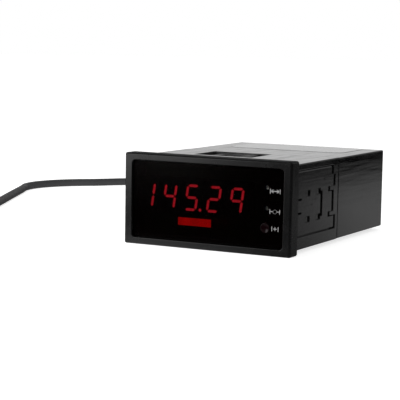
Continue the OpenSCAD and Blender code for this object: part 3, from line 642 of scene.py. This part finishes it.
def made_finish(name):
    """A new material by name, from the tables or with a colour of the panel."""
    for table, make in ((PLASTICS, moulded_plastic), (METALS, worn_metal), (FILMS, matt_film)):
        if name in table:
            return make(name, *table[name])
    c = colours()
    return {
        "bezel_plastic": lambda: moulded_plastic(
            name, c.bezel, 0.25, 0.3, 0.3, 0.0008, dull=BEZEL_TOP_FACE),
        "case_plastic": lambda: moulded_plastic(
            name, c.case, 0.12, 1.0, 0.5, 0.0, streaks=0.07),
        "sleeve_plastic": lambda: moulded_plastic(
            name, c.case, 0.12, 1.0, 0.5, 0.0, streaks=0.06, dull=TOP_POCKET),
        "slide_plastic": lambda: moulded_plastic(
            name, c.case, 0.14, 0.9, 0.4, 0.0, streaks=0.05),
        "window_filter": lambda: filter_window(name, c.window),
        # Painted glow: the red strip is a dull film with no light behind it, given light of its own
        # so that it shows through the dark window.
        "red_film": lambda: lit_resin(name, c.strip, 1.0, cloud_size=5.0),
        "lit_segment": lambda: lit_resin(name, c.figures, 5.2, cloud_size=1.6),
        "board_laminate": lambda: circuit_laminate(name, (0.01, 0.09, 0.035), (0.03, 0.16, 0.06)),
        "fuse_glass": lambda: clear_glass(name),
        "cord_jacket": lambda: cable_jacket(name, c.lead),
    }[name]()


_made = {}


def finish(name):
    """A material by name, made once."""
    if name not in _made:
        _made[name] = made_finish(name)
    return _made[name]


# ---- Pieces ---------------------------------------------------------------------------------

class METER_OT_case(bpy.types.Operator):
    """Bezel, sleeve, rear cover, rear panel, label, mounting slides and cover screws"""

    bl_idname = "meter.case"
    bl_label = "Case"

    def execute(self, context):
        softened("bezel", "front_bezel", finish("bezel_plastic"), 0.3 * MM, 3)
        softened("sleeve", "case_sleeve", finish("sleeve_plastic"), 0.3 * MM, 3)
        softened("rear_cover", "case_cover", finish("case_plastic"), 0.45 * MM, 3)
        softened("rear_panel", "back_panel", finish("case_plastic"), 0.2 * MM)
        softened("rating_label", "bare_label", finish("label_film"), 0.04 * MM)
        softened("mounting_slide_right", "slide_right", finish("slide_plastic"), 0.12 * MM)
        softened("mounting_slide_left", "slide_left", finish("slide_plastic"), 0.12 * MM)
        self.cover_screws()
        return {"FINISHED"}

    @staticmethod
    def cover_screws():
        low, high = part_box("panel_screws")
        head = 5 * MM
        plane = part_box("rear_panel")[1].y
        mesh = grown("cover_screws", corner_screws(), {
            "Width": high.x - low.x - head, "Height": high.z - low.z - head, "Plane": plane,
            "Head diameter": head, "Head height": high.y - plane, "Shank diameter": 2.6 * MM,
            "Shank length": plane - low.y, "Cross": 2.8 * MM,
            "Material": finish("black_steel")}, 0.15 * MM)
        piece("cover_screws", mesh, body_of_node("panel_screws"), None,
              ["panel_screws"])


def outlined(shape, path, line, y, thickness):
    """Adds a flat mark of even line width along a path of X and Z points, standing forward of y."""
    for (x0, z0), (x1, z1) in zip(path, path[1:]):
        run = Vector((x1 - x0, 0, z1 - z0))
        along = run.normalized() * line / 2
        across = Vector((-along.z, 0, along.x))
        start, end = Vector((x0, y, z0)) - along, Vector((x1, y, z1)) + along
        corners = [start - across, end - across, end + across, start + across]
        back, top = [[shape.verts.new(c - Vector((0, t, 0))) for c in corners]
                     for t in (0, thickness)]
        sides = [[back[i], back[(i + 1) % 4], top[(i + 1) % 4], top[i]] for i in range(4)]
        for face in (back[::-1], top, *sides):
            shape.faces.new(face)


def ring(radius, steps=20):
    """Points of a closed circle about the middle of a sign."""
    turns = [math.radians(360 * k / steps) for k in range(steps + 1)]
    return [(radius * math.cos(turn), radius * math.sin(turn)) for turn in turns]


# X and Z of each sign's middle, in mm
SPAN_SIGN, ZERO_SIGN, BUTTON_SIGN = (38.4, 8.8), (38.4, -1.45), (38.7, -10.15)


class METER_OT_front(bpy.types.Operator):
    """Window, strip, printed signs, figures and controls"""

    bl_idname = "meter.front"
    bl_label = "Front"

    def execute(self, context):
        softened("window_lens", "window", finish("window_filter"), 0.15 * MM)
        dress("legend_strip", finish("red_film"))
        for i in range(1, 6):
            dress(f"led_module_{i}", finish("module_resin"))
            dress(f"lit_segments_{i}", finish("lit_segment"))
        dress("dark_segments", finish("unlit_segment"))
        for name in ("span", "zero"):
            dress(f"{name}_trimmer", finish("trimmer_blue"))
            softened(f"{name}_screw", f"{name}_adjuster", finish("dull_brass"), 0.1 * MM)
        dress("cal_switch", finish("black_resin"))
        dress("switch_plunger", finish("white_resin"))
        softened("cal_button", "press_button", finish("button_plastic"), 0.2 * MM)
        self.signs()
        return {"FINISHED"}

    @staticmethod
    def signs():
        """Plain signs: a double arrow, a ring and a cross, each between two bars."""
        width, line = sizes().mark_width, sizes().mark_line
        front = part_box("window_lens")[0].y
        half, tip = width / 2, width / 5
        shape = bmesh.new()

        def draw(place, bar, paths):
            x, z = (value * MM for value in place)
            bars = [[(-bar, -tip), (-bar, tip)], [(bar, -tip), (bar, tip)]]
            for path in (*bars, *paths):
                outlined(shape, [(x + px, z + pz) for px, pz in path], line, front, 0.04 * MM)

        head = tip * 0.7
        draw(SPAN_SIGN, half, [
            [(-2 * tip, 0), (2 * tip, 0)], [(-tip, head), (-2 * tip, 0), (-tip, -head)],
            [(tip, head), (2 * tip, 0), (tip, -head)]])
        draw(ZERO_SIGN, half, [
            ring(tip * 0.9), [(-2 * tip, 0), (-tip, 0)], [(tip, 0), (2 * tip, 0)]])
        draw(BUTTON_SIGN, 1.6 * tip, [[(-head, 0), (head, 0)], [(0, -head), (0, head)]])
        piece("control_signs", plain_mesh(shape, "control_signs"), body_of_node("window_lens"),
              finish("white_print"))


INSIDE = {
    "display_board": "board_laminate", "main_board": "board_laminate",
    "board_header": "black_resin",
    "transformer_core": "core_steel", "transformer_coil": "coil_tape",
    "filter_capacitor": "capacitor_sleeve", "output_capacitor": "capacitor_sleeve",
    "regulator": "black_resin", "fuse_clips": "tinned_metal", "fuse": "fuse_glass",
    "converter_chip": "black_resin", "driver_chip": "black_resin", "gland_nut": "gland_nylon",
}


class METER_OT_inside(bpy.types.Operator):
    """Boards and the parts on them"""

    bl_idname = "meter.inside"
    bl_label = "Inside"

    def execute(self, context):
        for node, name in INSIDE.items():
            dress(node, finish(name))
        return {"FINISHED"}


class METER_OT_rear(bpy.types.Operator):
    """Terminal strip and lead gland"""

    bl_idname = "meter.rear"
    bl_label = "Rear"

    def execute(self, context):
        softened("terminal_block", "terminal_strip", finish("terminal_green"), 0.15 * MM)
        low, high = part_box("terminal_screws")
        width = high.z - low.z
        count = round((high.x - low.x - width) / TERMINAL_PITCH) + 1
        mesh = grown("terminal_heads", slotted_screws(), {
            "Count": count, "Start": Vector((low.x + width / 2, low.y, (low.z + high.z) / 2)),
            "Step": Vector((TERMINAL_PITCH, 0, 0)), "Diameter": width, "Length": high.y - low.y,
            "Slot": 0.6 * MM, "Material": finish("tinned_metal")}, 0.12 * MM)
        piece("terminal_heads", mesh, body_of_node("terminal_screws"), None,
              ["terminal_screws"])
        softened("cord_gland", "lead_gland", finish("gland_nylon"), 0.3 * MM)
        low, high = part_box("cord_gland")
        rings = sizes().relief_rings
        step, from_end = 2.2 * MM, 1.6 * MM
        first = high.y - from_end - (rings - 1) * step
        mesh = grown("relief_rings", tapering_rings(), {
            "Count": rings, "Start": Vector(((low.x + high.x) / 2, first, (low.z + high.z) / 2)),
            "Step": Vector((0, step, 0)), "First diameter": 11.4 * MM, "Last diameter": 8.9 * MM,
            "Ring width": 1.2 * MM, "Material": finish("gland_nylon")}, 0.35 * MM, 3)
        piece("relief_rings", mesh, body_of_node("cord_gland"))
        return {"FINISHED"}


# ---- Lead -----------------------------------------------------------------------------------

# Points of the lead in mm: where it comes down behind the gland, and then X and Y on the ground
LEAD_COMES_DOWN = [(-22, 183, -15), (-32, 200, -19.9)]
LEAD_ON_GROUND = [
    (-50, 221), (-80, 244), (-115, 257), (-150, 261), (-177, 256), (-198, 243), (-211, 227),
    (-224, 214), (-232, 201), (-236, 185), (-234, 170), (-228, 157), (-216, 130), (-203, 101),
    (-190, 72), (-178, 46)]


def coil_path(centre, low, radius, diameter):
    """Points of the coil: in turn by turn on the ground, up at the middle, out again on top."""
    per_turn = sizes().turn_points
    # Degrees of winding at which the lead starts a step of one diameter: two in, up, and two out
    inward, climb, outward = (250, 610), 935, (1260, 1620)
    change, total = 110, 1980  # degrees that a step takes, and that the whole coil has

    def eased(wound, start):
        share = min(1, max(0, (wound - start) / change))
        return share * share * (3 - 2 * share)

    points = []
    for k in range(total * per_turn // 360 + 1):
        wound = k * 360 / per_turn
        steps_out = (sum(eased(wound, start) for start in outward)
                     - sum(eased(wound, start) for start in inward))
        reach = radius + diameter * steps_out
        angle = -math.radians(wound)
        points.append(Vector((
            centre.x + reach * math.cos(angle), centre.y + reach * math.sin(angle),
            low + diameter * eased(wound, climb))))
    return points


def lead_path(diameter):
    """The lead's own line from the gland to the plug, in metres, with its coil."""
    ground = FLOOR_Z + diameter / 2
    low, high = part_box("cord_gland")
    mouth = Vector(((low.x + high.x) / 2, high.y, (low.z + high.z) / 2))
    straight, bend = 2.5 * MM, 22.5 * MM
    points = [mouth]
    for a in (math.radians(degrees) for degrees in (0, 17, 34, 51)):
        points.append(
            mouth + Vector((0, straight + bend * math.sin(a), bend * (math.cos(a) - 1))))
    points += [Vector(point) * MM for point in LEAD_COMES_DOWN]
    points += [Vector((x * MM, y * MM, ground)) for x, y in LEAD_ON_GROUND]
    low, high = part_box("cord_coil")
    centre = (low + high) / 2
    outer = (high.x - low.x) / 2 - diameter / 2
    coil = coil_path(centre, ground, outer, diameter)
    plug_low, plug_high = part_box("plug_body")
    plug = Vector(((plug_low.x + plug_high.x) / 2, plug_low.y, (plug_low.z + plug_high.z) / 2))
    tail = [Vector((plug.x, centre.y + 18 * MM, coil[-1].z)),
            Vector((plug.x, centre.y + 34 * MM, plug.z + 0.6 * MM)),
            plug - Vector((0, 8, 0)) * MM, plug + Vector((0, 1.5, 0)) * MM]
    return points + coil + tail


def smooth_line(spline, path, radius):
    """Runs a spline through the points, with handles that keep every bend even."""
    steps = [b - a for a, b in zip(path, path[1:])]
    spline.bezier_points.add(len(path) - 1)
    arriving, leaving = [steps[0], *steps], [*steps, steps[-1]]
    for point, place, before, after in zip(spline.bezier_points, path, arriving, leaving):
        along = before * (after.length / before.length) + after * (before.length / after.length)
        point.handle_left_type = point.handle_right_type = "FREE"
        point.co = place
        point.radius = radius
        point.handle_left = place - along.normalized() * before.length / 3
        point.handle_right = place + along.normalized() * after.length / 3


class METER_OT_lead(bpy.types.Operator):
    """Supply lead with its coil, tie and plug"""

    bl_idname = "meter.lead"
    bl_label = "Lead"

    def execute(self, context):
        diameter = sizes().cord_diameter
        path = lead_path(diameter)
        curve = bpy.data.curves.new("supply_lead", "CURVE")
        curve.dimensions = "3D"
        curve.bevel_depth = 1.0  # times each point's radius, which also sets the curve's own box
        curve.bevel_resolution = 4
        curve.resolution_u = 6
        curve.use_fill_caps = True
        smooth_line(curve.splines.new("BEZIER"), path, diameter / 2)
        lead = piece("supply_lead", curve, body_of_node("cord"), None,
                     ["cord", "cord_tail", "cord_coil"])
        curve.materials.append(finish("cord_jacket"))
        grip = softened("plug_body", "plug_grip", finish("plug_rubber"), 0.9 * MM, 4, 25)
        pins = softened("plug_blades", "plug_pins", finish("brass"), 0.2 * MM)
        ridges = self.plug_ridges()
        tie = self.tie()
        return {"FINISHED"}

    @staticmethod
    def plug_ridges():
        """Finger ridges across the plug's upper and lower faces."""
        low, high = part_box("plug_body")
        middle = (low + high) / 2
        count, step, from_end = sizes().grip_ridges, 1.9 * MM, 5 * MM
        start = high.y - from_end - (count - 1) * step
        mesh = grown("plug_ridges", ridge_row(), {
            "Count": count, "Start": Vector((middle.x, start, middle.z)),
            "Step": Vector((0, step, 0)),
            "Bar": Vector((0.6 * (high.x - low.x), 0.8 * MM, high.z - low.z + 0.7 * MM)),
            "Material": finish("plug_rubber")}, 0.3 * MM, 3)
        for vert in mesh.vertices:
            vert.co.z = max(vert.co.z, low.z + 0.02 * MM)
        return piece("plug_ridges", mesh, body_of_node("plug_body"))

    @staticmethod
    def tie():
        """Toothed nylon strap round the coil, with its head and clipped end."""
        low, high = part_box("coil_tie")
        obj = link(bpy.data.objects.new("coil_strap_draft", merged_copy("coil_tie")))
        shape = bmesh.new()
        shape.from_mesh(obj.data)
        middle = (low.x + high.x) / 2
        head = Vector((middle, low.y + 5 * MM, high.z + 1.1 * MM)), (5.6, 5.2, 3.4)
        clipped_end = Vector((middle, low.y + 9.4 * MM, high.z + 0.9 * MM)), (3.6, 4.6, 0.9)
        for centre, size in (head, clipped_end):
            bmesh.ops.create_cube(
                shape, size=1, matrix=Matrix.LocRotScale(centre, None, Vector(size) * MM))
        shape.to_mesh(obj.data)
        shape.free()
        round_edges(obj, 0.2 * MM, 3)
        return piece("coil_strap", evaluated(obj, "coil_strap"), body_of_node("coil_tie"),
                     finish("tie_nylon"), ["coil_tie"])


# ---- Stage ----------------------------------------------------------------------------------

GROUND_RADIUS = 6  # metres


def aim_camera(studio):
    """A camera that looks at the meter from azimuth and elevation, with a small roll."""
    back = Vector((
        math.sin(studio.azimuth) * math.cos(studio.elevation),
        -math.cos(studio.azimuth) * math.cos(studio.elevation),
        math.sin(studio.elevation)))
    right = (-back).cross(Vector((0, 0, 1))).normalized()
    up = right.cross(-back)
    c, s = math.cos(studio.roll), math.sin(studio.roll)
    right, up = right * c + up * s, up * c - right * s
    camera = link(bpy.data.objects.new("Camera", bpy.data.cameras.new("Camera")))
    turn = Matrix((right, up, back)).transposed().to_4x4()
    camera.matrix_world = Matrix.Translation(Vector(studio.aim) + back * studio.distance) @ turn
    camera.data.lens = studio.lens
    camera.data.sensor_width = 36
    camera.data.clip_end = 20
    bpy.context.scene.camera = camera


def floor_material():
    """White table that is white to the camera apart from its shadows.

    To glossy rays it glows by itself instead: a pool of light beside and behind the meter,
    dimmer in a band that fans out on each side, and a strip before the bezel, strongest on
    its left. Everywhere else it is black to them.
    """
    camera_lift, bounce_lift = 0.72, 0.9
    pool_light, strip_light = 0.31, 0.9
    fan_spread, fan_least, fan_rise = 1.9, 0.35, 0.65
    s = Shader("ground_white")
    s.set(Base_Color=(0.8, 0.8, 0.8, 1), Roughness=0.9, Specular_IOR_Level=0.0)
    path = s.add("ShaderNodeLightPath")
    lift = s.add("ShaderNodeEmission")
    bounce = s.math("MULTIPLY", path.outputs["Is Diffuse Ray"], bounce_lift)
    direct = s.math("MULTIPLY", path.outputs["Is Camera Ray"], camera_lift)
    s.join(s.math("ADD", direct, bounce), lift.inputs["Strength"])
    seen = s.add("ShaderNodeAddShader")
    s.join(s.surface.outputs[0], seen.inputs[0])
    s.join(lift.outputs[0], seen.inputs[1])

    # Places on the ground in mm; where eased has its larger number first, it fades the other way
    parts = s.add("ShaderNodeSeparateXYZ")
    s.join(s.place(), parts.inputs[0])
    x, y = parts.outputs["X"], parts.outputs["Y"]
    side = s.math("ABSOLUTE", x, 0)
    behind = s.math("SUBTRACT", y, s.math("MULTIPLY", side, fan_spread))
    fan = s.math("ADD", fan_least, s.math("MULTIPLY", s.eased(behind, -107, 43), fan_rise))
    fan = s.math("ADD", fan, s.math("MULTIPLY", s.eased(behind, -125, -200), fan_rise))
    pool = s.math("MULTIPLY", s.eased(side, 260, 100), s.eased(y, -60, 20))
    pool = s.math("MULTIPLY", s.math("MULTIPLY", pool, fan), pool_light)
    strip = s.math("MULTIPLY", s.eased(y, -58, -28), s.eased(y, 10, -10))
    strip = s.math("MULTIPLY", s.math("MULTIPLY", strip, s.eased(x, 70, -50)), strip_light)
    mirrored = s.add("ShaderNodeEmission")
    s.join(s.math("ADD", pool, strip), mirrored.inputs["Strength"])
    pick = s.add("ShaderNodeMixShader")
    s.join(path.outputs["Is Glossy Ray"], pick.inputs[0])
    s.join(seen.outputs[0], pick.inputs[1])
    s.join(mirrored.outputs[0], pick.inputs[2])
    s.join(pick.outputs[0], s.output.inputs[0])
    return s.material


def studio_world():
    """White to the camera, even soft light, and to glossy rays a screen behind on the left."""
    even_light, screen_dim, screen_bright = 0.45, 0.2, 0.72
    toward_screen = (-0.46, 0.87, 0.17)
    edge, middle = 0.85, 0.985  # dot products with that direction
    world = bpy.data.worlds.new("Studio")
    world.use_nodes = True
    tree = world.node_tree
    tree.nodes.clear()

    def add(kind, links, **values):
        node = tree.nodes.new(kind)
        for key, value in values.items():
            setattr(node, key, value)
        for socket, source in links.items():
            if isinstance(source, bpy.types.NodeSocket):
                tree.links.new(source, node.inputs[socket])
            else:
                node.inputs[socket].default_value = source
        return node

    direction = add("ShaderNodeTexCoord", {}).outputs["Generated"]
    facing = add("ShaderNodeVectorMath", {0: direction, 1: toward_screen}, operation="DOT_PRODUCT")
    screen = add("ShaderNodeMapRange", {
        "Value": facing.outputs["Value"], "From Min": edge, "From Max": middle,
        "To Min": screen_dim, "To Max": screen_bright})
    path = add("ShaderNodeLightPath", {})
    soft = add("ShaderNodeMix", {
        "Factor": path.outputs["Is Glossy Ray"], "A": even_light, "B": screen.outputs["Result"]})
    strength = add("ShaderNodeMix", {
        "Factor": path.outputs["Is Camera Ray"], "A": soft.outputs["Result"], "B": 1.0})
    background = add("ShaderNodeBackground", {
        "Color": (1, 1, 1, 1), "Strength": strength.outputs["Result"]})
    add("ShaderNodeOutputWorld", {"Surface": background.outputs[0]})
    bpy.context.scene.world = world


def soft_lamp(name, place, aim, width, height, power):
    """A rectangular lamp at a place, turned to its aim; metres and watts."""
    lamp = bpy.data.lights.new(name, "AREA")
    lamp.shape = "RECTANGLE"
    lamp.size = width
    lamp.size_y = height
    lamp.energy = power
    obj = link(bpy.data.objects.new(name, lamp))
    turn = (Vector(aim) - Vector(place)).to_track_quat("-Z", "Y").to_matrix().to_4x4()
    obj.matrix_world = Matrix.Translation(place) @ turn
    return obj


class METER_OT_stage(bpy.types.Operator):
    """Ground, soft lamps, sky and camera"""

    bl_idname = "meter.stage"
    bl_label = "Stage"

    def execute(self, context):
        mesh = bpy.data.meshes.new("ground")
        shape = bmesh.new()
        bmesh.ops.create_circle(shape, cap_ends=True, segments=64, radius=GROUND_RADIUS)
        bmesh.ops.translate(shape, verts=shape.verts, vec=(0, 0, FLOOR_Z))
        shape.to_mesh(mesh)
        shape.free()
        mesh.materials.append(floor_material())
        link(bpy.data.objects.new("ground", mesh))
        overhead = soft_lamp(
            "overhead", (-0.1, 0.1, 0.9), (0, 0.05, 0), width=0.9, height=0.9, power=2)
        overhead.visible_glossy = False
        soft_lamp("left_front", (-0.255, -0.226, 0.106), (0, 0, 0),
                  width=0.31, height=0.27, power=0.84)
        studio_world()
        aim_camera(context.scene.studio)
        context.scene.view_settings.view_transform = "Standard"
        return {"FINISHED"}


class METER_PT_panel(bpy.types.Panel):
    """Buttons for each group of pieces"""

    bl_idname = "METER_PT_panel"
    bl_label = "Panel meter"
    bl_space_type = "VIEW_3D"
    bl_region_type = "UI"
    bl_category = "Panel meter"

    def draw(self, context):
        for operator in OPERATORS:
            self.layout.operator(operator.bl_idname)
        for group in (context.scene.meter_sizes, context.scene.meter_colours, context.scene.studio):
            for name in group.__annotations__:
                self.layout.prop(group, name)


OPERATORS = (
    METER_OT_stage, METER_OT_lead, METER_OT_case, METER_OT_front, METER_OT_inside, METER_OT_rear)
CLASSES = (MeterSizes, MeterColours, StudioSettings, *OPERATORS, METER_PT_panel)


def register():
    for cls in CLASSES:
        bpy.utils.register_class(cls)
    bpy.types.Scene.meter_sizes = PointerProperty(type=MeterSizes)
    bpy.types.Scene.meter_colours = PointerProperty(type=MeterColours)
    bpy.types.Scene.studio = PointerProperty(type=StudioSettings)


def unregister():
    del bpy.types.Scene.meter_sizes
    del bpy.types.Scene.meter_colours
    del bpy.types.Scene.studio
    for cls in reversed(CLASSES):
        bpy.utils.unregister_class(cls)


def main():
    register()
    bpy.ops.meter.stage()
    bpy.ops.meter.lead()
    bpy.ops.meter.case()
    bpy.ops.meter.front()
    bpy.ops.meter.inside()
    bpy.ops.meter.rear()


if __name__ == "__main__":
    main()
